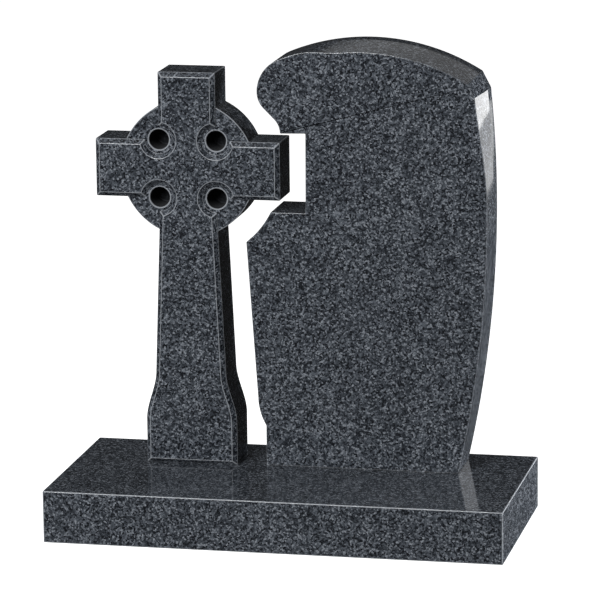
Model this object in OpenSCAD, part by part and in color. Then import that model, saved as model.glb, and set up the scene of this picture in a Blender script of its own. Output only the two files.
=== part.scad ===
// Three-piece granite memorial: a Celtic cross and a shaped tablet side by side on one plinth.
// X runs to the right, Y to the back and Z up. The origin is under the middle of the plinth.

/* [Plinth] */
// Width of the plinth, left to right
plinth_w = 914; // [740:1:1200]
// Depth of the plinth, front to back
plinth_d = 432; // [300:1:600]
// Height of the plinth
plinth_h = 104; // [60:1:200]

/* [Placing] */
// How far the middle of the cross stands left of the middle of the plinth
cross_offset = 218; // [175:1:270]
// Bare strip of plinth behind the tablet
back_margin = 42; // [0:1:120]
// How far the face of the cross stands in front of the face of the tablet
cross_lead = 16; // [0:1:60]

/* [Cross] */
// Thickness of the cross, front to back
cross_t = 100; // [60:1:140]
// Height of the middle of the cross above the plinth
cross_mid_h = 600; // [480:1:760]
// Width of the three short arms
arm_w = 116; // [95:1:142]
// From the middle of the cross to the end of each side arm
arm_reach = 187; // [155:1:226]
// From the middle of the cross to the top of the upper arm
top_reach = 194; // [160:1:240]
// Width of the shaft where it leaves the side arms
shaft_top_w = 114; // [90:1:138]
// Width of the shaft above its flare
shaft_low_w = 144; // [120:1:174]
// Width of the foot of the shaft
foot_w = 186; // [176:1:226]
// Height of the straight-sided foot
foot_h = 88; // [40:1:140]
// Height of the flare between foot and shaft
flare_h = 100; // [60:1:160]
// Bevel round the face of the cross
bevel = 9; // [4:0.5:14]

/* [Wheel] */
// Outer radius of the wheel that joins the arms
wheel_r = 137; // [114:1:165]
// How far the wheel lies behind the bevel at the front and inside the back of the cross
wheel_step = 2; // [1:0.5:10]
// Diameter of the four round pits in the corners between the arms
pit_d = 40; // [30:1:50]
// Depth of those pits below the face of the wheel
pit_depth = 60; // [20:1:70]
// Flat rim left round each pit
pit_rim = 8; // [3:1:14]

/* [Tablet] */
// Thickness of the tablet, front to back
tablet_t = 120; // [80:1:150]
// Air between the foot of the cross and the foot of the tablet
foot_gap = 58; // [30:1:90]
// Height of the straight-sided foot of the tablet
heel_h = 82; // [40:1:120]
// How far the left edge swells out past the foot
heel_out = 16; // [8:1:24]
// Height of that swelling
heel_rise = 59; // [40:1:80]
// Right edge at its widest, right of the middle of the plinth
bow_x = 381; // [318:1:450]
// Height above the plinth at which the right edge is widest
bow_mid_h = 522; // [435:1:620]
// Radius of the bowed right edge
bow_r = 2350; // [1950:10:2820]
// Radius of the arched top
crown_r = 430; // [360:1:515]
// Rise of the arched top above the middle of the lobe
crown_rise = 97; // [81:1:116]
// Drop from the top of the arch to the right shoulder
shoulder_drop = 95; // [79:1:114]
// Width of the slanted cut between arch and right shoulder
shoulder_w = 17; // [8:1:24]

/* [Recess in the tablet] */
// Air between the wheel and the curved edge of the tablet
wheel_gap = 48; // [28:1:64]
// Air past the end of the side arm
end_gap = 49; // [30:1:70]
// Air over the side arm
over_gap = 17; // [8:1:30]
// Air under the side arm
under_gap = 25; // [12:1:40]
// How far the throat of the lobe reaches back over the arm, from the inner end of the recess
throat = 50; // [40:1:70]
// Radius of the hollow under the lobe
hollow_r = 40; // [30:1:50]
// Radius of the lower half of the lobe
lobe_low_r = 46; // [38:1:56]
// Radius of the upper half of the lobe
lobe_top_r = 70; // [58:1:84]
// How far the lobe stands out past its throat
lobe_out = 46; // [38:1:56]

/* [Hidden] */
stone = "dimgray";
slack = 1;

arm_half = arm_w / 2;
cross_x = -cross_offset;
cross_z = plinth_h + cross_mid_h;
tablet_front = plinth_d / 2 - back_margin - tablet_t;
cross_front = tablet_front - cross_lead;
wheel_front = bevel + wheel_step;

// Points along an arc in the XZ plane, from angle a to angle b in n steps
function arc(mid, r, a, b, n) =
    [for (i = [0:n]) mid + r * [cos(a + (b - a) * i / n), sin(a + (b - a) * i / n)]];

// An S-shaped edge that leaves point a upright and reaches point b upright, in n steps
function s_curve(a, b, n) =
    [for (i = [0:n]) let (t = i / n) [a.x + (b.x - a.x) * (3 - 2 * t) * t * t, a.y + (b.y - a.y) * t]];

function mirrored(points) = [for (i = [len(points) - 1:-1:0]) [-points[i].x, points[i].y]];

// The same closed outline drawn in by d, its points running anticlockwise
function inward(a, b) = [a.y - b.y, b.x - a.x] / norm(b - a);
function inset(points, d) =
    [for (i = [0:len(points) - 1])
        let (n = len(points),
             u = inward(points[(i + n - 1) % n], points[i]),
             v = inward(points[i], points[(i + 1) % n]))
        points[i] + d * (u + v) / (1 + u * v)];

// Right-hand edges of the limbs of the cross, upwards, about its own middle
shaft_edge = concat(
    [[foot_w / 2, -cross_mid_h]],
    s_curve([foot_w / 2, foot_h - cross_mid_h], [shaft_low_w / 2, foot_h + flare_h - cross_mid_h], 12),
    [[shaft_top_w / 2, -arm_half],
     [shaft_top_w / 2, 0]]);
top_arm_edge = [[arm_half, 0], [arm_half, top_reach]];
side_arms_edge = [[arm_reach, -arm_half], [arm_reach, arm_half]];

// Outline of the tablet, anticlockwise from its left foot, over the plinth
mid = [cross_x, cross_mid_h];
foot_left = cross_x + foot_w / 2 + foot_gap;
clear_r = wheel_r + wheel_gap;
recess_x = cross_x + arm_reach + end_gap;
recess_low = cross_mid_h - arm_half - under_gap;
recess_top = cross_mid_h + arm_half + over_gap;
recess_a = asin((recess_low - cross_mid_h) / clear_r);
neck_a = -51.5;
throat_x = recess_x - throat;
lobe_x = throat_x - lobe_out;
hollow_mid = [throat_x - hollow_r, recess_top];
hollow_end = hollow_mid + hollow_r * [cos(45), sin(45)];
lobe_low_x = lobe_x + lobe_low_r;
lobe_z = hollow_end.y + hollow_end.x - lobe_low_x + 2 * lobe_low_r * sin(45);
lobe_top_mid = [lobe_x + lobe_top_r, lobe_z];
crown_top = lobe_z + crown_rise;
crown_z = crown_top - crown_r;
crown_x = lobe_top_mid.x + sqrt((crown_r - lobe_top_r) ^ 2 - (lobe_z - crown_z) ^ 2);
crown_a = atan2(lobe_z - crown_z, lobe_top_mid.x - crown_x);
bow_mid = [bow_x - bow_r, bow_mid_h];
shoulder_a = asin((crown_top - shoulder_drop - bow_mid_h) / bow_r);
shoulder = bow_mid + bow_r * [cos(shoulder_a), sin(shoulder_a)];
crown_end_a = acos((shoulder.x - shoulder_w - crown_x) / crown_r);
heel = [foot_left, heel_h];
heel_top = [foot_left - heel_out, heel_h + heel_rise];
heel_bulge = 4;

// A shallow arc through points a and b that stands out by rise at its middle
function bulge(a, b, rise, n) =
    let (side = inward(b, a))
    [for (i = [0:n]) let (t = i / n) a + (b - a) * t + side * 4 * rise * t * (1 - t)];

tablet_outline = concat(
    [[foot_left, 0]],
    arc(bow_mid, bow_r, asin(-bow_mid_h / bow_r), shoulder_a, 24),
    arc([crown_x, crown_z], crown_r, crown_end_a, crown_a, 32),
    arc(lobe_top_mid, lobe_top_r, crown_a + 2, 180, 10),
    arc([lobe_low_x, lobe_z], lobe_low_r, 185, 225, 7),
    arc(hollow_mid, hollow_r, 45, 0, 8),
    [[recess_x, recess_top],
     [recess_x, recess_low]],
    arc(mid, clear_r, recess_a, neck_a, 8),
    bulge(heel_top, heel, heel_bulge, 6));

module upright(y, t) {
    translate([0, y + t, 0]) rotate([90, 0, 0]) linear_extrude(t) children();
}

module plinth() {
    color(stone) translate([-plinth_w / 2, -plinth_d / 2, 0]) cube([plinth_w, plinth_d, plinth_h]);
}

// A limb of the cross, the same on its left as on its right: full size behind the bevel and drawn
// in at the face. Its front and back are strips of four-sided faces from edge to edge.
module limb(edge) {
    outline = concat(edge, mirrored(edge));
    n = len(outline);
    points = concat(
        [for (p = inset(outline, bevel)) [p.x, 0, p.y]],
        [for (y = [bevel, cross_t], p = outline) [p.x, y, p.y]]);
    steps = [0:len(edge) - 2];
    front = [for (i = steps) [i, n - 1 - i, n - 2 - i, i + 1]];
    back = [for (i = steps) [2 * n + i, 2 * n + i + 1, 3 * n - 2 - i, 3 * n - 1 - i]];
    sides = [for (k = [0, n], i = [0:n - 1]) [k + i, k + (i + 1) % n, k + n + (i + 1) % n, k + n + i]];
    polyhedron(points, concat(front, back, sides));
}

module at_pits() {
    for (sx = [-1, 1], sz = [-1, 1])
        translate([sx * arm_half, 0, sz * arm_half]) rotate([-90, 0, 0]) children();
}

// Cuts the limbs back round a pit, bevelled like their edges
module seat_cut() {
    r = pit_d / 2 + pit_rim;
    translate([0, 0, -slack]) cylinder(h = cross_t + 2 * slack, r = r, $fn = 96);
    translate([0, 0, -slack]) cylinder(h = bevel + slack, r1 = r + bevel + slack, r2 = r, $fn = 96);
}

module wheel() {
    translate([0, wheel_front, 0]) rotate([-90, 0, 0])
        cylinder(h = cross_t - wheel_step - wheel_front, r = wheel_r, $fn = 256);
}

module cross() {
    color(stone) translate([cross_x, cross_front, cross_z]) difference() {
        union() {
            difference() {
                for (edge = [shaft_edge, side_arms_edge, top_arm_edge]) limb(edge);
                at_pits() seat_cut();
            }
            wheel();
        }
        at_pits() translate([0, 0, -slack]) cylinder(h = wheel_front + pit_depth + slack, d = pit_d, $fn = 96);
    }
}

module tablet() {
    color(stone) translate([0, 0, plinth_h]) upright(tablet_front, tablet_t) polygon(tablet_outline);
}

plinth();
cross();
tablet();
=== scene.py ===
"""A three-piece granite memorial: a Celtic cross and a shaped tablet side by side on one plinth."""

import bpy
import numpy as np
from bpy.props import FloatProperty, FloatVectorProperty, IntProperty, PointerProperty
from mathutils import Matrix, Vector


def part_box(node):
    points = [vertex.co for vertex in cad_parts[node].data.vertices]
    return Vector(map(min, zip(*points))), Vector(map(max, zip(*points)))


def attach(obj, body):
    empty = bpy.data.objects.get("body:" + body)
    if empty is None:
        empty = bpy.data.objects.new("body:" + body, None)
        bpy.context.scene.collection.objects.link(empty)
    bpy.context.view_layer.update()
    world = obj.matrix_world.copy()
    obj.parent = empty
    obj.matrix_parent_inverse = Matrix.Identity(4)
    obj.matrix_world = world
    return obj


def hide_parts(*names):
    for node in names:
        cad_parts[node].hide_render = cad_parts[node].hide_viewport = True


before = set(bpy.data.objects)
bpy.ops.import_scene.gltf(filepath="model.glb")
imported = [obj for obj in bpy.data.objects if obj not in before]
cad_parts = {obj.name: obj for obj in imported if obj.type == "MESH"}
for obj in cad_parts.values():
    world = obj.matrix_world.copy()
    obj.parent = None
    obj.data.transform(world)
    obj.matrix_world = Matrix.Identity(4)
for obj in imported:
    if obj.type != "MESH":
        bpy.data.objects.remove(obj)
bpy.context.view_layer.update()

bl_info = {
    "name": "Celtic Cross Memorial",
    "version": (1, 0, 0),
    "blender": (4, 5, 0),
    "location": "View3D > Sidebar > Memorial",
    "description": "Builds a polished granite memorial of plinth, Celtic cross and tablet",
    "category": "Add Mesh",
}

# The attribute that marks the eased edges of a mesh
ARRIS = "arris"


def length(name, description, default):
    """A size in metres."""
    return FloatProperty(name=name, description=description, default=default, min=0.0, unit="LENGTH")


def colour(name, description, default):
    """A linear colour."""
    return FloatVectorProperty(
        name=name, description=description, default=default, subtype="COLOR", min=0.0, max=1.0
    )


class CrossSizes(bpy.types.PropertyGroup):
    """Sizes of the Celtic cross. Its height, reach and thickness come from the frame."""

    arm_width: length("Arm width", "Width of the three short arms", 0.116)
    top_reach: length("Top reach", "From the middle of the cross to its top", 0.194)
    shaft_top_width: length("Shaft top", "Width of the shaft where it leaves the side arms", 0.114)
    shaft_low_width: length("Shaft bottom", "Width of the shaft above its flare", 0.144)
    foot_width: length("Foot width", "Width of the foot of the shaft", 0.186)
    foot_height: length("Foot height", "Height of the straight-sided foot", 0.088)
    flare_height: length("Flare height", "Height of the flare between foot and shaft", 0.100)
    bevel: length("Bevel", "Width of the bevel round the face of the cross", 0.009)
    wheel_radius: length("Wheel radius", "Outer radius of the wheel that joins the arms", 0.137)
    wheel_step: length("Wheel step", "How far the wheel lies behind the bevel and inside the back", 0.002)
    pit_radius: length("Pit radius", "Radius of the four round pits between the arms", 0.020)
    pit_rim: length("Pit rim", "Flat rim left round each pit", 0.008)
    # The paler lip is partly honed stone and partly a painted highlight round the mouth of the pit
    pit_lip: length("Pit lip", "Width of the paler lip round the mouth of each pit", 0.003)
    pit_depth: length("Pit depth", "Depth of the pits below the face of the wheel", 0.060)


class TabletSizes(bpy.types.PropertyGroup):
    """Sizes of the tablet. Its thickness and right-hand edge come from the frame."""

    foot_gap: length("Foot gap", "Air between the foot of the cross and the tablet", 0.058)
    heel_height: length("Heel height", "Height of the straight-sided foot of the tablet", 0.082)
    heel_out: length("Heel swell", "How far the left edge swells out past the foot", 0.016)
    heel_rise: length("Heel rise", "Height of that swelling", 0.059)
    heel_bulge: length("Left bulge", "How far the left edge stands out from a straight line", 0.004)
    bow_mid_height: length("Bow height", "Height above the plinth where the right edge is widest", 0.522)
    bow_radius: length("Bow radius", "Radius of the bowed right edge", 2.350)
    crown_radius: length("Crown radius", "Radius of the arched top", 0.430)
    crown_rise: length("Crown rise", "Rise of the arched top above the middle of the lobe", 0.097)
    shoulder_drop: length("Shoulder drop", "Drop from the top of the arch to the shoulder", 0.095)
    shoulder_width: length("Shoulder cut", "Width of the slanted cut between arch and shoulder", 0.017)
    splay: length("Splay", "How far the face is cut back along the arched top and the shoulder", 0.013)
    splay_depth: length("Splay depth", "How far back from the face that cut reaches", 0.080)
    splay_start: length("Splay start", "From the left tip of the tablet to where the cut begins", 0.100)
    splay_run: length("Splay run", "Distance in which it grows to its full size", 0.090)
    splay_end: length("Splay end", "Height above the plinth where it dies out on the right edge", 0.545)
    wheel_gap: length("Wheel gap", "Air between the wheel and the tablet", 0.048)
    end_gap: length("End gap", "Air past the end of the side arm", 0.049)
    over_gap: length("Gap over the arm", "Air over the side arm", 0.017)
    under_gap: length("Gap under the arm", "Air under the side arm", 0.025)
    throat: length("Throat", "How far the throat of the lobe reaches back over the arm", 0.050)
    hollow_radius: length("Hollow radius", "Radius of the hollow under the lobe", 0.040)
    lobe_low_radius: length("Lobe underside radius", "Radius of the lower half of the lobe", 0.046)
    lobe_top_radius: length("Lobe top radius", "Radius of the upper half of the lobe", 0.070)
    lobe_out: length("Lobe reach", "How far the lobe stands out past its throat", 0.046)
    neck_angle: FloatProperty(
        name="Neck angle",
        description="Where the edge leaves the circle round the wheel, below the level of its middle",
        default=np.radians(51.5), min=0.0, subtype="ANGLE",
    )


class EdgeSizes(bpy.types.PropertyGroup):
    """How the mason eased the edges of the stones."""

    arris: length("Arris", "Radius of the eased edges of the plinth and the tablet", 0.0016)
    fine_arris: length("Fine arris", "Radius of the eased edges of the cross", 0.0015)
    steps: IntProperty(
        name="Arris steps", description="Faces round an eased edge", default=5, min=2, max=12
    )
    support: length("Support", "Width of the narrow flat strips beside an eased edge", 0.0004)


class GraniteColours(bpy.types.PropertyGroup):
    """Colours of the minerals, the size of the grain and the polish."""

    black: colour("Dark mica", "Colour of the darkest grains", (0.0050, 0.0065, 0.0090))
    slate: colour("Dark feldspar", "Colour of the ordinary grains", (0.029, 0.034, 0.042))
    grey: colour("Grey feldspar", "Colour of the lighter grains", (0.082, 0.093, 0.110))
    white: colour("Quartz", "Colour of the palest grains", (0.225, 0.245, 0.275))
    # The paler eased edges are partly honed stone and partly a painted highlight on the edges
    edge: colour("Eased edge", "Colour of the stone where its edges are eased", (0.32, 0.34, 0.37))
    edge_honing_and_highlight: FloatProperty(
        name="Edge paleness", description="How far the eased edges of plinth and cross turn pale",
        default=0.8, min=0.0, max=1.0,
    )
    tablet_honing_and_highlight: FloatProperty(
        name="Edge paleness, tablet", description="The same for the finer edges of the tablet",
        default=0.2, min=0.0, max=1.0,
    )
    grain: length("Grain", "Width of an ordinary grain", 0.0033)
    polish: FloatProperty(
        name="Roughness", description="Roughness of the polished stone", default=0.05, min=0.0, max=1.0
    )


class StageSettings(bpy.types.PropertyGroup):
    """Floor, lights and camera."""

    floor_radius: length("Floor radius", "Radius of the pale floor", 60.0)
    floor_colour: colour("Floor", "Colour of the pale floor", (0.86, 0.86, 0.86))
    floor_glow: FloatProperty(name="Floor glow", description="Light that the floor gives off", default=1.0)
    azimuth: FloatProperty(
        name="Azimuth", description="How far right of straight ahead the camera stands",
        default=np.radians(12.41), subtype="ANGLE",
    )
    elevation: FloatProperty(
        name="Elevation", description="How far the camera looks down",
        default=np.radians(12.42), subtype="ANGLE",
    )
    roll: FloatProperty(
        name="Roll", description="How far the camera leans", default=np.radians(-0.64), subtype="ANGLE"
    )
    distance: length("Distance", "From the camera to the point it looks at", 7.754)
    focal_length: FloatProperty(
        name="Focal length", description="Focal length of the lens", default=238.6,
        subtype="DISTANCE_CAMERA",
    )
    target: FloatVectorProperty(
        name="Target", description="The point that the camera looks at",
        default=(0.0315, -0.066, 0.4728), subtype="XYZ", unit="LENGTH",
    )


# Outlines


def arc(centre, radius, start, end, steps):
    """Points on a circle, centre + radius (cos a, sin a), with a going evenly from start to end."""
    angle = np.linspace(start, end, steps + 1)
    return np.column_stack((centre[0] + radius * np.cos(angle), centre[1] + radius * np.sin(angle)))


def edge_normals(points):
    """Unit normals on the left of each edge of a closed outline.

    On an outline that runs anticlockwise they point inwards.
    """
    edge = np.roll(points, -1, axis=0) - points
    return np.column_stack((-edge[:, 1], edge[:, 0])) / np.linalg.norm(edge, axis=1)[:, None]


def inset(points, depth):
    """A closed outline drawn in by depth, one for all or one for each point.

    Each point p moves by depth (u + v) / (1 + u.v), where u and v are the normals before and after it.
    """
    after = edge_normals(points)
    before = np.roll(after, 1, axis=0)
    mitre = (before + after) / (1 + (before * after).sum(axis=1))[:, None]
    return points + np.reshape(depth, (-1, 1)) * mitre


def turns(points):
    """Signed angle through which a closed outline turns at each point."""
    after = np.roll(points, -1, axis=0) - points
    before = np.roll(after, 1, axis=0)
    cross = before[:, 0] * after[:, 1] - before[:, 1] * after[:, 0]
    return np.arctan2(cross, (before * after).sum(axis=1))


def corners(points, least=np.radians(13)):
    """Marks the points of a closed outline at which it turns sharply."""
    return np.abs(turns(points)) > least


def eased(points, sharp, radius, steps, support):
    """A closed outline with each sharp point made an arc of that radius between two support points.

    The arc starts at p - t u, where u is the direction before p and t = radius tan(turn / 2), and
    runs through p - t u + radius (sin a u + (1 - cos a) n), n being the side that it turns to.
    """
    turn = turns(points)
    after = np.roll(points, -1, axis=0) - points
    after /= np.linalg.norm(after, axis=1)[:, None]
    before = np.roll(after, 1, axis=0)
    repeats = np.where(sharp, steps + 3, 1)
    which = np.repeat(np.arange(len(points)), repeats)
    run = np.arange(len(which)) - np.repeat(np.cumsum(repeats) - repeats, repeats)
    on = sharp[which]
    share = np.clip((run - 1) / steps, 0, 1)
    angle = np.abs(turn[which]) * share
    side = np.column_stack((-before[:, 1], before[:, 0])) * np.sign(turn)[:, None]
    tangent = np.where(sharp, radius * np.tan(np.abs(turn) / 2), 0)
    bow = before[which] * np.sin(angle)[:, None] + side[which] * (1 - np.cos(angle))[:, None]
    placed = points[which] - before[which] * tangent[which][:, None]
    placed += np.where(on, radius, 0)[:, None] * bow
    placed -= before[which] * (on & (run == 0))[:, None] * support
    placed += after[which] * (on & (run == steps + 2))[:, None] * support
    return placed, on & (run > 0) & (run < steps + 2)


def edge_profile(path, edges):
    """An open path of (inset, depth) with its inner corners eased, and marks on the eased points."""
    path = np.array(path, float)
    sharp = corners(path)
    sharp[[0, -1]] = False
    return eased(path, sharp, **edges)


def corner_easing(edges):
    """The easing of the corners of an outline: one support strip wider than that of its rims."""
    return {**edges, "radius": edges["radius"] + edges["support"]}


def bulge(start, end, rise, steps):
    """A shallow curve from start to end, start + t (end - start) + 4 rise t (1 - t) n.

    n is the unit normal on the right of the way from start to end.
    """
    start, end = np.array(start), np.array(end)
    t = np.linspace(0, 1, steps + 1)[:, None]
    along = (end - start) / np.linalg.norm(end - start)
    out = np.array((along[1], -along[0]))
    return start + (end - start) * t + out * 4 * rise * t * (1 - t)


# Meshes

# Edges that turn by more than this are shaded sharp
SHARP_EDGE = np.radians(28)


def grid_faces(rows, columns):
    """Four-sided faces between the rows of a grid whose columns close on themselves."""
    row, column = np.meshgrid(np.arange(rows - 1), np.arange(columns), indexing="ij")
    here = row * columns + column
    beside = row * columns + (column + 1) % columns
    return np.stack((here, here + columns, beside + columns, beside), axis=-1).reshape(-1, 4)


def standing(u, v, depth):
    """Places an outline upright, its depth running back from the face."""
    return np.stack((u, depth, v), axis=-1)


def lying(u, v, depth):
    """Places an outline level, its depth running down from the top."""
    return np.stack((u, v, -depth), axis=-1)


def closed_block(name, rings, depths, marks, place, origin):
    """A solid with a flat cap on its first and last ring.

    rings is an array (level, point, 2) of closed outlines and depths holds the depth of each level:
    the surface is place(u, v, depth) + origin. marks, of the same shape as a level grid, go into the
    arris attribute.
    """
    levels, count = rings.shape[:2]
    depth = np.broadcast_to(np.asarray(depths)[:, None], (levels, count))
    vertices = place(rings[..., 0], rings[..., 1], depth).reshape(-1, 3) + np.array(origin)
    sides = grid_faces(levels, count)
    front = np.arange(count)
    back = np.arange(levels * count - 1, (levels - 1) * count - 1, -1)
    mesh = bpy.data.meshes.new(name)
    mesh.from_pydata(vertices, [], [front.tolist(), back.tolist()] + sides.tolist())
    mesh.attributes.new(ARRIS, "FLOAT", "POINT").data.foreach_set("value", marks.astype(np.float32).ravel())
    smooth = np.ones(len(mesh.polygons), bool)
    smooth[:2] = False
    mesh.polygons.foreach_set("use_smooth", smooth)
    mesh.validate()
    return bpy.data.objects.new(name, mesh)


def finished(piece, material, node):
    """Puts a piece into the scene in the place of a CAD node, with its edges and material set."""
    if piece.name not in bpy.context.scene.collection.objects:
        bpy.context.scene.collection.objects.link(piece)
    piece.data.set_sharp_from_angle(angle=SHARP_EDGE)
    piece.data.materials.clear()
    piece.data.materials.append(material)
    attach(piece, "root")
    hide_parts(node)


def combine_marks(corner_marks, level_marks):
    """Marks on a grid: eased levels all round, and eased corners between the two flat caps."""
    marks = np.stack(corner_marks)
    marks[[0, 1, -2, -1]] = False
    return np.maximum(marks, level_marks[:, None])


def slab(name, outline, thickness, edges, place, origin, splay=0.0, splay_depth=np.inf):
    """A block of one outline, eased round its front and back and at its corners.

    At depth y the outline is also drawn in by splay (1 - y / splay_depth), where that is above 0.
    splay may differ from point to point.
    """
    support, far = edges["support"], 2 * edges["radius"]
    fold = [(0, splay_depth - support), (0, splay_depth + support)] if splay_depth < thickness else []
    path = [(far, 0), (0, 0), *fold, (0, thickness), (far, thickness)]
    profile, level_marks = edge_profile(path, edges)
    sharp, corner = corners(outline), corner_easing(edges)
    rings, marks = zip(*(
        eased(inset(outline, d + splay * max(0, 1 - y / splay_depth)), sharp, **corner)
        for d, y in profile
    ))
    marks = combine_marks(marks, level_marks)
    return closed_block(name, np.stack(rings), profile[:, 1], marks, place, origin)


# The plinth


def plinth_outline(width, depth):
    """A rectangle about the origin."""
    x, y = width / 2, depth / 2
    return np.array([(-x, -y), (x, -y), (x, y), (-x, y)])


# The cross


def shaft_edge(sizes, middle_height, steps=32):
    """The right-hand edge of the shaft, upwards, about the middle of the cross.

    Between foot and shaft it follows x = a + (b - a)(3 t^2 - 2 t^3), which is upright at both ends.
    """
    foot, low, top = sizes.foot_width / 2, sizes.shaft_low_width / 2, sizes.shaft_top_width / 2
    t = np.linspace(0, 1, steps + 1)
    flare = np.column_stack((
        foot + (low - foot) * (3 - 2 * t) * t * t,
        sizes.foot_height + sizes.flare_height * t - middle_height,
    ))
    start = np.array([(foot, -middle_height)])
    end = np.array([(top, -sizes.arm_width / 2)])
    return np.vstack((start, flare, end))


def drawn_in(path, depth):
    """An open path that runs anticlockwise, moved inwards by depth as inset moves a closed one."""
    after = edge_normals(path)[:-1]
    before = np.vstack((after[:1], after))
    after = np.vstack((after, after[-1:]))
    return path + depth * (before + after) / (1 + (before * after).sum(axis=1))[:, None]


def cross_half(sizes, reach, middle_height, depth):
    """The right half of the outline of the limbs, upwards, drawn in by depth.

    Each inner corner is bitten out by a circle of radius seat + depth, which the straight edges
    beside it meet at sin(a) = depth / radius.
    """
    half = sizes.arm_width / 2
    seat = sizes.pit_radius + sizes.pit_rim + depth
    edge = drawn_in(shaft_edge(sizes, middle_height), depth)
    edge[0, 1] += depth
    low_bite, high_bite = np.array((half, -half)), np.array((half, half))
    down = (edge[-2] - edge[-1]) / np.linalg.norm(edge[-2] - edge[-1])
    away = edge[-1] - low_bite
    along = away @ down
    meet = edge[-1] + down * (np.sqrt(along ** 2 - away @ away + seat ** 2) - along)
    shaft_angle = np.arctan2(*(meet - low_bite)[::-1]) + 2 * np.pi
    slip = np.arcsin(depth / seat)
    return np.vstack((
        edge[:-1],
        arc(low_bite, seat, shaft_angle, slip, steps=56),
        [(reach - depth, depth - half), (reach - depth, half - depth)],
        arc(high_bite, seat, -slip, slip - 1.5 * np.pi, steps=56),
        [(half - depth, sizes.top_reach - depth)],
    ))


def cross_outline(sizes, reach, middle_height, depth):
    """Both halves of the outline of the limbs, anticlockwise."""
    half = cross_half(sizes, reach, middle_height, depth)
    return np.vstack((half, half[::-1] * (-1, 1)))


def limbs(sizes, edges, reach, middle_height, thickness, origin):
    """Shaft and arms as one block, bevelled round the face."""
    bevel, far = sizes.bevel, 2 * edges["radius"]
    path = [(bevel + far, 0), (bevel, 0), (0, bevel), (0, thickness), (far, thickness)]
    profile, level_marks = edge_profile(path, edges)
    sharp, corner = corners(cross_outline(sizes, reach, middle_height, 0)), corner_easing(edges)
    rings, marks = zip(*(
        eased(cross_outline(sizes, reach, middle_height, d), sharp, **corner)
        for d in profile[:, 0]
    ))
    marks = combine_marks(marks, level_marks)
    return closed_block("limbs", np.stack(rings), profile[:, 1], marks, standing, origin)


def disc(name, radius, path, edges, steps, origin):
    """A round block: the profile path (inset, depth), eased, carried round a circle."""
    profile, level_marks = edge_profile(path, edges)
    angle = np.arange(steps) * 2 * np.pi / steps
    circle = np.column_stack((np.cos(angle), np.sin(angle)))
    rings = (radius - profile[:, 0])[:, None, None] * circle
    marks = np.broadcast_to(level_marks[:, None], (len(profile), steps))
    return closed_block(name, rings, profile[:, 1], marks, standing, origin)


def points_and_marks(mesh):
    """The points of a mesh, in whole micrometres, and their arris marks."""
    points = np.empty(len(mesh.vertices) * 3, np.float32)
    mesh.vertices.foreach_get("co", points)
    marks = np.empty(len(mesh.vertices), np.float32)
    mesh.attributes[ARRIS].data.foreach_get("value", marks)
    return np.round(points.reshape(-1, 3) * 1e6).astype(np.int64), marks


def combined(base, others, operation):
    """Joins base with the other solids, or cuts them out of it, into one closed mesh.

    A point of the result keeps the arris mark of the solids' point at the same place, if any.
    """
    old_points, old_marks = map(np.concatenate, zip(*(points_and_marks(s.data) for s in [base] + others)))
    collection = bpy.context.scene.collection
    for solid in [base] + others:
        if solid.name not in collection.objects:
            collection.objects.link(solid)
    for other in others:
        step = base.modifiers.new(other.name, "BOOLEAN")
        step.operation, step.solver, step.object = operation, "EXACT", other
    bpy.context.view_layer.update()
    graph = bpy.context.evaluated_depsgraph_get()
    result = bpy.data.meshes.new_from_object(
        base.evaluated_get(graph), preserve_all_data_layers=True, depsgraph=graph
    )
    new_points = points_and_marks(result)[0]
    place = np.unique(np.vstack((old_points, new_points)), axis=0, return_inverse=True)[1].ravel()
    mark_at = np.zeros(place.max() + 1, np.float32)
    np.maximum.at(mark_at, place[:len(old_points)], old_marks)
    result.attributes[ARRIS].data.foreach_set("value", mark_at[place[len(old_points):]])
    base.modifiers.clear()
    base.data = result
    for other in others:
        bpy.data.objects.remove(other)


# The tablet


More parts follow.
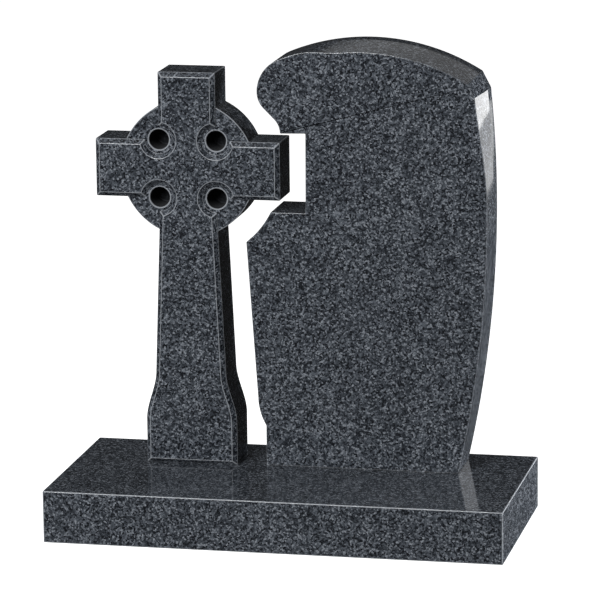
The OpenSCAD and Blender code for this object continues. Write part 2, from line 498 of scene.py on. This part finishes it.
def tablet_outline(tablet, cross, cross_middle, cross_reach, bow_x):
    """Outline of the tablet over the plinth, anticlockwise from its left foot: arcs and short lines.

    The right edge is an arc that is widest at bow_x. The arched top touches the upper circle of the
    lobe, which lies inside it, so their centres are the difference of their radii apart. The lower
    circle of the lobe and the hollow under it touch at 45 degrees. Below the recess the edge follows
    a circle round the wheel, down to the neck, and a shallow bulge leads from there to the heel.
    """
    middle_x, middle_z = cross_middle
    foot_left = middle_x + cross.foot_width / 2 + tablet.foot_gap
    clear = cross.wheel_radius + tablet.wheel_gap
    recess_x = middle_x + cross_reach + tablet.end_gap
    recess_low = middle_z - cross.arm_width / 2 - tablet.under_gap
    recess_top = middle_z + cross.arm_width / 2 + tablet.over_gap
    throat_x = recess_x - tablet.throat
    lobe_x = throat_x - tablet.lobe_out
    diagonal = np.sqrt(0.5)
    hollow = (throat_x - tablet.hollow_radius, recess_top)
    low, high = tablet.lobe_low_radius, tablet.lobe_top_radius
    lobe_z = recess_top + 2 * diagonal * (tablet.hollow_radius + low) + hollow[0] - lobe_x - low
    crown_top = lobe_z + tablet.crown_rise
    crown_z = crown_top - tablet.crown_radius
    crown_x = lobe_x + high + np.sqrt((tablet.crown_radius - high) ** 2 - (lobe_z - crown_z) ** 2)
    lobe_angle = np.arctan2(lobe_z - crown_z, lobe_x + high - crown_x)
    bow = (bow_x - tablet.bow_radius, tablet.bow_mid_height)
    foot_angle = np.arcsin(-tablet.bow_mid_height / tablet.bow_radius)
    shoulder_angle = np.arcsin((crown_top - tablet.shoulder_drop - bow[1]) / tablet.bow_radius)
    shoulder_x = bow[0] + tablet.bow_radius * np.cos(shoulder_angle)
    crown_angle = np.arccos((shoulder_x - tablet.shoulder_width - crown_x) / tablet.crown_radius)
    recess_angle = np.arcsin((recess_low - middle_z) / clear)
    heel = (foot_left, tablet.heel_height)
    swell = (foot_left - tablet.heel_out, tablet.heel_height + tablet.heel_rise)
    return np.vstack((
        [(foot_left, 0)],
        arc(bow, tablet.bow_radius, foot_angle, shoulder_angle, steps=72),
        arc((crown_x, crown_z), tablet.crown_radius, crown_angle, lobe_angle, steps=110),
        arc((lobe_x + high, lobe_z), high, lobe_angle, np.pi, steps=30)[1:],
        arc((lobe_x + low, lobe_z), low, np.pi, 1.25 * np.pi, steps=14)[1:],
        arc(hollow, tablet.hollow_radius, 0.25 * np.pi, 0, steps=13)[1:],
        [(recess_x, recess_top), (recess_x, recess_low)],
        arc(cross_middle, clear, recess_angle, -tablet.neck_angle, steps=22),
        bulge(swell, heel, tablet.heel_bulge, steps=12),
    ))


def ramp(value, start, end):
    """0 up to start and 1 from end on, with 3 t^2 - 2 t^3 between them."""
    t = np.clip((value - start) / (end - start), 0, 1)
    return t * t * (3 - 2 * t)


def splay_share(outline, tablet, crown_top):
    """Share of the full splay at each point: along the arched top, and fading down the right edge."""
    x, z = outline.T
    start = x.min() + tablet.splay_start
    fade = ramp(z, tablet.splay_end, crown_top - tablet.shoulder_drop)
    return fade * ramp(x, start, start + tablet.splay_run)


# Finishes

# A coarse and a fine set of cells are swayed out of their straight sides. Together they give each
# grain its level, from 0 to 1, which also drifts slowly across the stone.
SWAY, SWAY_DETAIL = 0.9, 2.0
FINE_CELLS, FINE_SHARE = 2.3, 0.28
DRIFT, DRIFT_SCALE, DRIFT_DETAIL = 0.16, 14.0, 3.0

# The levels between which one mineral gives way to the next
BLACK_TO_SLATE = (0.26, 0.36)
SLATE_TO_GREY = (0.50, 0.62)
GREY_TO_WHITE = (0.76, 0.84)

# What mica and the eased edges add to the roughness, and how deep the grain stands in relief
MICA_ROUGHNESS = 0.04
EDGE_ROUGHNESS = 0.1
RELIEF, RELIEF_STRENGTH = 0.00003, 0.25
STONE_IOR = 1.5

# How far a bore turns dark inside, a painted shade in the pits, and rough, and how far into its wall that
# reaches
BORE_PAINTED_SHADE = 0.9
BORE_WALL = 0.0003


def node_group(name, inputs, outputs):
    """An empty shader node group with the sockets named: (kind, name, default) in and (kind, name) out."""
    group = bpy.data.node_groups.new(name, "ShaderNodeTree")
    for kind, label, default in inputs:
        group.interface.new_socket(label, in_out="INPUT", socket_type=kind).default_value = default
    for kind, label in outputs:
        group.interface.new_socket(label, in_out="OUTPUT", socket_type=kind)
    return group, group.nodes.new("NodeGroupInput"), group.nodes.new("NodeGroupOutput")


def feed(tree, socket, value):
    """Gives an input socket its value: another socket, a number, a vector or a colour."""
    if isinstance(value, bpy.types.NodeSocket):
        tree.links.new(value, socket)
    else:
        socket.default_value = value


def math(tree, operation, first, second=0.0, third=0.0, clamp=False):
    """A Math node on sockets or numbers."""
    node = tree.nodes.new("ShaderNodeMath")
    node.operation, node.use_clamp = operation, clamp
    for socket, value in zip(node.inputs, (first, second, third)):
        feed(tree, socket, value)
    return node.outputs[0]


def blend_colours(tree, factor, first, second):
    """A Mix node between two colours."""
    node = tree.nodes.new("ShaderNodeMix")
    node.data_type = "RGBA"
    for socket, value in zip((node.inputs[0], node.inputs[6], node.inputs[7]), (factor, first, second)):
        feed(tree, socket, value)
    return node.outputs[2]


def place_group(tree, group, values):
    """Places a shader group in a material, gives its inputs their values and returns its outputs."""
    node = tree.nodes.new("ShaderNodeGroup")
    node.node_tree = group
    for label, value in values.items():
        feed(tree, node.inputs[label], value)
    return node.outputs


def grain_group():
    """Shader group of packed mineral grains: each Voronoi cell takes one of four colours by chance."""
    name = "granite grain"
    if name in bpy.data.node_groups:
        return bpy.data.node_groups[name]
    group, given, result = node_group(
        name,
        [("NodeSocketVector", "Position", (0, 0, 0)), ("NodeSocketFloat", "Grain", 0.004),
         ("NodeSocketColor", "Black", (0, 0, 0, 1)), ("NodeSocketColor", "Slate", (0, 0, 0, 1)),
         ("NodeSocketColor", "Grey", (0, 0, 0, 1)), ("NodeSocketColor", "White", (0, 0, 0, 1))],
        [("NodeSocketColor", "Colour"), ("NodeSocketFloat", "Relief"), ("NodeSocketFloat", "Mica")],
    )
    new, link = group.nodes.new, group.links.new
    scale = math(group, "DIVIDE", 1.0, given.outputs["Grain"])
    sway = new("ShaderNodeTexNoise")
    sway.inputs["Detail"].default_value = SWAY_DETAIL
    link(given.outputs["Position"], sway.inputs["Vector"])
    link(scale, sway.inputs["Scale"])
    shifted = new("ShaderNodeVectorMath")
    shifted.operation = "MULTIPLY_ADD"
    link(sway.outputs["Color"], shifted.inputs[0])
    link(math(group, "MULTIPLY", given.outputs["Grain"], SWAY), shifted.inputs[1])
    link(given.outputs["Position"], shifted.inputs[2])
    cells = new("ShaderNodeTexVoronoi")
    link(shifted.outputs[0], cells.inputs["Vector"])
    link(scale, cells.inputs["Scale"])
    fine = new("ShaderNodeTexVoronoi")
    link(shifted.outputs[0], fine.inputs["Vector"])
    link(math(group, "MULTIPLY", scale, FINE_CELLS), fine.inputs["Scale"])
    chance = new("ShaderNodeSeparateColor")
    link(cells.outputs["Color"], chance.inputs[0])
    fleck = new("ShaderNodeSeparateColor")
    link(fine.outputs["Color"], fleck.inputs[0])
    mixed = math(group, "ADD", math(group, "MULTIPLY", chance.outputs[0], 1 - FINE_SHARE),
                 math(group, "MULTIPLY", fleck.outputs[0], FINE_SHARE))
    drift = new("ShaderNodeTexNoise")
    drift.inputs["Scale"].default_value = DRIFT_SCALE
    drift.inputs["Detail"].default_value = DRIFT_DETAIL
    link(given.outputs["Position"], drift.inputs["Vector"])
    drifting = math(group, "MULTIPLY_ADD", drift.outputs[0], DRIFT, -DRIFT / 2)
    level = math(group, "ADD", mixed, drifting)

    def step_up(low, high):
        node = new("ShaderNodeMapRange")
        node.inputs["From Min"].default_value = low
        node.inputs["From Max"].default_value = high
        link(level, node.inputs["Value"])
        return node.outputs[0]

    not_black = step_up(*BLACK_TO_SLATE)
    dark = blend_colours(group, not_black, given.outputs["Black"], given.outputs["Slate"])
    mid = blend_colours(group, step_up(*SLATE_TO_GREY), dark, given.outputs["Grey"])
    full = blend_colours(group, step_up(*GREY_TO_WHITE), mid, given.outputs["White"])
    link(full, result.inputs["Colour"])
    link(level, result.inputs["Relief"])
    link(math(group, "SUBTRACT", 1.0, not_black, clamp=True), result.inputs["Mica"])
    return group


def bore_group():
    """Shader group of masks for four round bores: 1 inside them, and 1 on the rim round each mouth.

    The distance from the nearest bore's axis is the length of (|x| - half, |z| - half), with x and
    z measured from the middle, which is the point midway between the four. Depth is how far behind
    it the masks end.
    """
    name = "bores"
    if name in bpy.data.node_groups:
        return bpy.data.node_groups[name]
    group, given, result = node_group(
        name,
        [("NodeSocketVector", "Position", (0, 0, 0)), ("NodeSocketVector", "Middle", (0, 0, 0)),
         ("NodeSocketFloat", "Half", 0.0), ("NodeSocketFloat", "Radius", 0.0),
         ("NodeSocketFloat", "Rim", 0.0), ("NodeSocketFloat", "Depth", 0.0)],
        [("NodeSocketFloat", "Inside"), ("NodeSocketFloat", "Rim")],
    )
    new, link = group.nodes.new, group.links.new
    from_middle = new("ShaderNodeVectorMath")
    from_middle.operation = "SUBTRACT"
    link(given.outputs["Position"], from_middle.inputs[0])
    link(given.outputs["Middle"], from_middle.inputs[1])
    parts = new("ShaderNodeSeparateXYZ")
    link(from_middle.outputs[0], parts.inputs[0])
    across, up = (
        math(group, "SUBTRACT", math(group, "ABSOLUTE", parts.outputs[k]), given.outputs["Half"])
        for k in (0, 2)
    )
    squares = math(group, "MULTIPLY_ADD", across, across, math(group, "MULTIPLY", up, up))
    away = math(group, "SQRT", squares)
    in_front = math(group, "LESS_THAN", parts.outputs[1], given.outputs["Depth"])
    wall = math(group, "ADD", given.outputs["Radius"], BORE_WALL)
    inside = math(group, "MULTIPLY", math(group, "LESS_THAN", away, wall), in_front)
    mouth = math(group, "ADD", given.outputs["Radius"], given.outputs["Rim"])
    near = math(group, "MULTIPLY", math(group, "LESS_THAN", away, mouth), in_front)
    link(inside, result.inputs["Inside"])
    link(math(group, "SUBTRACT", near, inside), result.inputs["Rim"])
    return group


def honed_edge_and_highlight_group():
    """Shader group of the eased edges, which are paler and a little rougher than the stone beside them:
    partly honed stone, partly a painted highlight.

    By mask times paleness the colour goes over to that of the edge, and the roughness rises by mask
    times what the edge adds.
    """
    name = "worn edges"
    if name in bpy.data.node_groups:
        return bpy.data.node_groups[name]
    group, given, result = node_group(
        name,
        [("NodeSocketFloat", "Mask", 0.0), ("NodeSocketColor", "Colour", (0, 0, 0, 1)),
         ("NodeSocketColor", "Edge Colour", (0, 0, 0, 1)), ("NodeSocketFloat", "Paleness", 0.0),
         ("NodeSocketFloat", "Roughness", 0.0), ("NodeSocketFloat", "Edge Roughness", 0.0)],
        [("NodeSocketColor", "Colour"), ("NodeSocketFloat", "Roughness")],
    )
    share = math(group, "MULTIPLY", given.outputs["Mask"], given.outputs["Paleness"])
    paler = blend_colours(group, share, given.outputs["Colour"], given.outputs["Edge Colour"])
    rougher = math(group, "MULTIPLY_ADD", given.outputs["Mask"], given.outputs["Edge Roughness"],
                   given.outputs["Roughness"])
    group.links.new(paler, result.inputs["Colour"])
    group.links.new(rougher, result.inputs["Roughness"])
    return group


def granite(name, colours, edge_honing_and_highlight, bores=None):
    """Polished granite: mineral grains, slightly duller mica, and paler stone on the eased edges and round
    the mouths of the bores, partly honed stone and partly a painted highlight.

    bores holds what the group of masks for bores takes, apart from the position. Inside the bores the
    colour is painted dark, a painted shade.
    """
    material = bpy.data.materials.new(name)
    material.use_nodes = True
    tree = material.node_tree
    new, link = tree.nodes.new, tree.links.new
    shader = tree.nodes["Principled BSDF"]
    position = new("ShaderNodeTexCoord").outputs["Object"]
    grain = place_group(tree, grain_group(), {
        "Position": position, "Grain": colours.grain,
        "Black": (*colours.black, 1), "Slate": (*colours.slate, 1),
        "Grey": (*colours.grey, 1), "White": (*colours.white, 1),
    })
    arris = new("ShaderNodeAttribute")
    arris.attribute_name = ARRIS
    mask, shade = arris.outputs["Fac"], 0.0
    if bores:
        bore = place_group(tree, bore_group(), {"Position": position, **bores})
        # The lips of the bores turn pale like the eased edges: partly honed stone, partly a painted
        # highlight
        mask = math(tree, "MAXIMUM", mask, bore["Rim"])
        # Inside the bores the colour goes over to black, a painted shade in the pits, and the stone turns
        # rougher
        shade = math(tree, "MULTIPLY", bore["Inside"], BORE_PAINTED_SHADE)
    honed_and_highlit = place_group(tree, honed_edge_and_highlight_group(), {
        "Mask": mask, "Colour": grain["Colour"], "Edge Colour": (*colours.edge, 1), "Paleness": edge_honing_and_highlight,
        "Roughness": math(tree, "MULTIPLY_ADD", grain["Mica"], MICA_ROUGHNESS, colours.polish),
        "Edge Roughness": EDGE_ROUGHNESS,
    })
    stone = blend_colours(tree, shade, honed_and_highlit["Colour"], (*colours.black, 1))
    link(stone, shader.inputs["Base Color"])
    link(math(tree, "ADD", honed_and_highlit["Roughness"], shade, clamp=True), shader.inputs["Roughness"])
    bump = new("ShaderNodeBump")
    bump.inputs["Strength"].default_value = RELIEF_STRENGTH
    bump.inputs["Distance"].default_value = RELIEF
    link(grain["Relief"], bump.inputs["Height"])
    link(bump.outputs[0], shader.inputs["Normal"])
    shader.inputs["IOR"].default_value = STONE_IOR
    return material


# The pieces


def edge_sizes(settings, radius):
    """The easing of one stone, as plain numbers."""
    return {"radius": radius, "steps": settings.steps, "support": settings.support}


class MEMORIAL_OT_plinth(bpy.types.Operator):
    """Cut and polish the plinth"""

    bl_idname = "memorial.plinth"
    bl_label = "Plinth"

    def execute(self, context):
        scene = context.scene
        low, high = map(np.array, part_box("plinth"))
        size = high - low
        middle = (low + high) / 2
        edges = edge_sizes(scene.memorial_edges, scene.memorial_edges.arris)
        outline = plinth_outline(size[0], size[1])
        origin = (middle[0], middle[1], high[2])
        piece = slab("plinth_polished", outline, size[2], edges, lying, origin)
        colours = scene.memorial_granite
        finished(piece, granite("plinth granite", colours, colours.edge_honing_and_highlight), "plinth")
        return {"FINISHED"}


class MEMORIAL_OT_cross(bpy.types.Operator):
    """Carve and polish the Celtic cross"""

    bl_idname = "memorial.cross"
    bl_label = "Celtic cross"

    def execute(self, context):
        scene = context.scene
        sizes = scene.memorial_cross
        low, high = map(np.array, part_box("cross"))
        reach = (high[0] - low[0]) / 2
        thickness = high[1] - low[1]
        middle = np.array(((low[0] + high[0]) / 2, low[1], high[2] - sizes.top_reach))
        edges = edge_sizes(scene.memorial_edges, scene.memorial_edges.fine_arris)
        piece = limbs(sizes, edges, reach, middle[2] - low[2], thickness, middle)
        piece.name = "cross_polished"
        face, back = sizes.bevel + sizes.wheel_step, thickness - sizes.wheel_step
        far = 2 * edges["radius"]
        rim = [(far, face), (0, face), (0, back), (far, back)]
        wheel = disc("wheel", sizes.wheel_radius, rim, edges, steps=256, origin=middle)
        # Each bore ends in front of the wheel in a funnel that eases the mouth of the pit
        mouth, floor, clear = face + edges["radius"], face + sizes.pit_depth, 5 * edges["radius"]
        bore = [(-clear, mouth - clear), (0, mouth), (0, floor), (far, floor)]
        half = sizes.arm_width / 2
        pits = [
            disc(f"pit_{x:+d}{z:+d}", sizes.pit_radius, bore, edges, steps=96,
                 origin=middle + (x * half, 0, z * half))
            for x in (-1, 1) for z in (-1, 1)
        ]
        combined(wheel, pits, "DIFFERENCE")
        combined(piece, [wheel], "UNION")
        bores = {"Middle": middle, "Half": half, "Radius": sizes.pit_radius, "Rim": sizes.pit_lip,
                 "Depth": floor + clear}
        colours = scene.memorial_granite
        finished(piece, granite("cross granite", colours, colours.edge_honing_and_highlight, bores), "cross")
        return {"FINISHED"}


class MEMORIAL_OT_tablet(bpy.types.Operator):
    """Cut and polish the tablet"""

    bl_idname = "memorial.tablet"
    bl_label = "Tablet"

    def execute(self, context):
        scene = context.scene
        tablet, cross = scene.memorial_tablet, scene.memorial_cross
        cross_low, cross_high = map(np.array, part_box("cross"))
        low, high = map(np.array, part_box("tablet"))
        reach = (cross_high[0] - cross_low[0]) / 2
        middle = (cross_low[0] + reach, cross_high[2] - cross.top_reach - low[2])
        outline = tablet_outline(tablet, cross, middle, reach, high[0])
        splay = splay_share(outline, tablet, high[2] - low[2]) * tablet.splay
        edges = edge_sizes(scene.memorial_edges, scene.memorial_edges.arris)
        origin = (0, low[1], low[2])
        piece = slab("tablet_polished", outline, high[1] - low[1], edges, standing, origin,
                     splay, tablet.splay_depth)
        colours = scene.memorial_granite
        finished(piece, granite("tablet granite", colours, colours.tablet_honing_and_highlight), "tablet")
        return {"FINISHED"}


# The stage

# The soft lights, in metres and watts. The two panels are what the polished edge of the tablet mirrors.
SOFT_LIGHTS = {
    "key light": dict(
        place=(-1.6, -5.2, 3.1), target=(0, 0.1, 0.45), width=2.6, height=2.0, power=380
    ),
    "side light": dict(
        place=(2.2, 0.9, 0.16), target=(0.45, 0.0, 0.16), width=2.0, height=0.3, power=115, mirrored=False
    ),
    "low panel": dict(
        place=(1.45, 2.0, 0.38), target=(1.45, 0.0, 0.38), width=1.38, height=0.42, power=1.7
    ),
    "high panel": dict(
        place=(1.65, 2.0, 0.84), target=(1.65, 0.0, 0.84), width=1.0, height=0.50, power=5.8
    ),
}

# The even glow of the world, and its soft patches: in front of the memorial, and over and behind it
GLOW = 0.02
SOFT_PATCHES = (
    dict(middle=(-0.25, -0.85, 0.46), low=0.20, high=0.95, strength=0.12),
    dict(middle=(0.0, 0.45, 0.89), low=0.66, high=0.80, strength=0.34),
)

# The floor lies just under the plinth, so that the two don't share a plane
FLOOR_DROP = 0.0003
FLOOR_ROUGHNESS = 0.8

# Width of the camera's sensor in millimetres, and the distances in metres between which it sees
SENSOR_WIDTH = 36
NEAREST, FARTHEST = 0.1, 200


def soft_box(name, place, target, width, height, power, mirrored=True):
    """A rectangular soft light at place that faces target and isn't seen by the camera."""
    lamp = bpy.data.lights.new(name, "AREA")
    lamp.shape = "RECTANGLE"
    lamp.size, lamp.size_y, lamp.energy = width, height, power
    holder = bpy.data.objects.new(name, lamp)
    holder.location = place
    holder.rotation_euler = (Vector(target) - Vector(place)).to_track_quat("-Z", "Y").to_euler()
    holder.visible_camera = False
    holder.visible_glossy = mirrored
    bpy.context.scene.collection.objects.link(holder)


def soft_patch(tree, direction, middle, low, high, strength):
    """A patch of light round the direction middle.

    It rises smoothly from 0 to its strength as the cosine of the angle to middle goes from low to high.
    """
    towards = tree.nodes.new("ShaderNodeVectorMath")
    towards.operation = "DOT_PRODUCT"
    towards.inputs[1].default_value = Vector(middle).normalized()
    tree.links.new(direction, towards.inputs[0])
    patch = tree.nodes.new("ShaderNodeMapRange")
    patch.interpolation_type = "SMOOTHSTEP"
    for label, value in (("From Min", low), ("From Max", high), ("To Max", strength)):
        patch.inputs[label].default_value = value
    tree.links.new(towards.outputs["Value"], patch.inputs["Value"])
    return patch.outputs[0]


def studio_world():
    """A world that is white to the camera, and is otherwise an even glow with soft patches of light."""
    world = bpy.data.worlds.new("studio")
    world.use_nodes = True
    tree = world.node_tree
    direction = tree.nodes.new("ShaderNodeTexCoord").outputs["Generated"]
    total = GLOW
    for patch in SOFT_PATCHES:
        total = math(tree, "ADD", soft_patch(tree, direction, **patch), total)
    seen = tree.nodes.new("ShaderNodeLightPath")
    strength = math(tree, "MAXIMUM", total, seen.outputs["Is Camera Ray"])
    background = tree.nodes["Background"]
    background.inputs["Color"].default_value = (1, 1, 1, 1)
    tree.links.new(strength, background.inputs["Strength"])
    bpy.context.scene.world = world


def pale_floor(settings, steps=96):
    """A large round floor that gives off some light, so that it stays pale under every light.

    The stones neither mirror it nor take light from it.
    """
    angle = np.arange(steps) * 2 * np.pi / steps
    rim = settings.floor_radius * np.column_stack((np.cos(angle), np.sin(angle), np.zeros(steps)))
    mesh = bpy.data.meshes.new("floor")
    mesh.from_pydata(rim - (0, 0, FLOOR_DROP), [], [list(range(steps))])
    floor = bpy.data.objects.new("floor", mesh)
    material = bpy.data.materials.new("pale floor")
    material.use_nodes = True
    shader = material.node_tree.nodes["Principled BSDF"]
    shader.inputs["Base Color"].default_value = (*settings.floor_colour, 1)
    shader.inputs["Roughness"].default_value = FLOOR_ROUGHNESS
    shader.inputs["Emission Color"].default_value = (*settings.floor_colour, 1)
    shader.inputs["Emission Strength"].default_value = settings.floor_glow
    mesh.materials.append(material)
    floor.visible_glossy = False
    floor.visible_diffuse = False
    bpy.context.scene.collection.objects.link(floor)


def stand_camera(settings):
    """Sets the camera by azimuth, elevation, roll and distance from its target."""
    azimuth, elevation = settings.azimuth, settings.elevation
    ahead = Vector((
        -np.sin(azimuth) * np.cos(elevation), np.cos(azimuth) * np.cos(elevation), -np.sin(elevation)
    ))
    right = Vector((np.cos(azimuth), np.sin(azimuth), 0))
    upwards = right.cross(ahead)
    side = right * np.cos(settings.roll) + upwards * np.sin(settings.roll)
    top = upwards * np.cos(settings.roll) - right * np.sin(settings.roll)
    lens = bpy.data.cameras.new("camera")
    lens.sensor_width, lens.lens = SENSOR_WIDTH, settings.focal_length
    lens.clip_start, lens.clip_end = NEAREST, FARTHEST
    camera = bpy.data.objects.new("camera", lens)
    turned = Matrix((side, top, -ahead)).transposed().to_4x4()
    camera.matrix_world = Matrix.Translation(Vector(settings.target) - ahead * settings.distance) @ turned
    bpy.context.scene.collection.objects.link(camera)
    bpy.context.scene.camera = camera


class MEMORIAL_OT_stage(bpy.types.Operator):
    """Lay the floor and set the lights and the camera"""

    bl_idname = "memorial.stage"
    bl_label = "Stage"

    def execute(self, context):
        settings = context.scene.memorial_stage
        stand_camera(settings)
        pale_floor(settings)
        studio_world()
        for name, light in SOFT_LIGHTS.items():
            soft_box(name, **light)
        context.scene.view_settings.view_transform = "Standard"
        return {"FINISHED"}


# The sidebar and the add-on


class MEMORIAL_PT_sidebar(bpy.types.Panel):
    """Buttons for each piece of the memorial, with its sizes"""

    bl_label = "Celtic cross memorial"
    bl_idname = "MEMORIAL_PT_sidebar"
    bl_space_type = "VIEW_3D"
    bl_region_type = "UI"
    bl_category = "Memorial"

    def draw(self, context):
        scene = context.scene
        for operator, groups in PIECES:
            box = self.layout.box()
            box.operator(operator.bl_idname)
            for group in groups:
                settings = getattr(scene, group)
                for name in settings.__annotations__:
                    box.prop(settings, name)


SETTINGS = {
    "memorial_cross": CrossSizes,
    "memorial_tablet": TabletSizes,
    "memorial_edges": EdgeSizes,
    "memorial_granite": GraniteColours,
    "memorial_stage": StageSettings,
}
PIECES = (
    (MEMORIAL_OT_plinth, ("memorial_edges", "memorial_granite")),
    (MEMORIAL_OT_cross, ("memorial_cross",)),
    (MEMORIAL_OT_tablet, ("memorial_tablet",)),
    (MEMORIAL_OT_stage, ("memorial_stage",)),
)


def register():
    for group in SETTINGS.values():
        bpy.utils.register_class(group)
    for operator, _ in PIECES:
        bpy.utils.register_class(operator)
    bpy.utils.register_class(MEMORIAL_PT_sidebar)
    for name, group in SETTINGS.items():
        setattr(bpy.types.Scene, name, PointerProperty(type=group))


def unregister():
    for name in SETTINGS:
        delattr(bpy.types.Scene, name)
    bpy.utils.unregister_class(MEMORIAL_PT_sidebar)
    for operator, _ in reversed(PIECES):
        bpy.utils.unregister_class(operator)
    for group in reversed(SETTINGS.values()):
        bpy.utils.unregister_class(group)


def main():
    register()
    bpy.ops.memorial.plinth()
    bpy.ops.memorial.cross()
    bpy.ops.memorial.tablet()
    bpy.ops.memorial.stage()


if __name__ == "__main__":
    main()
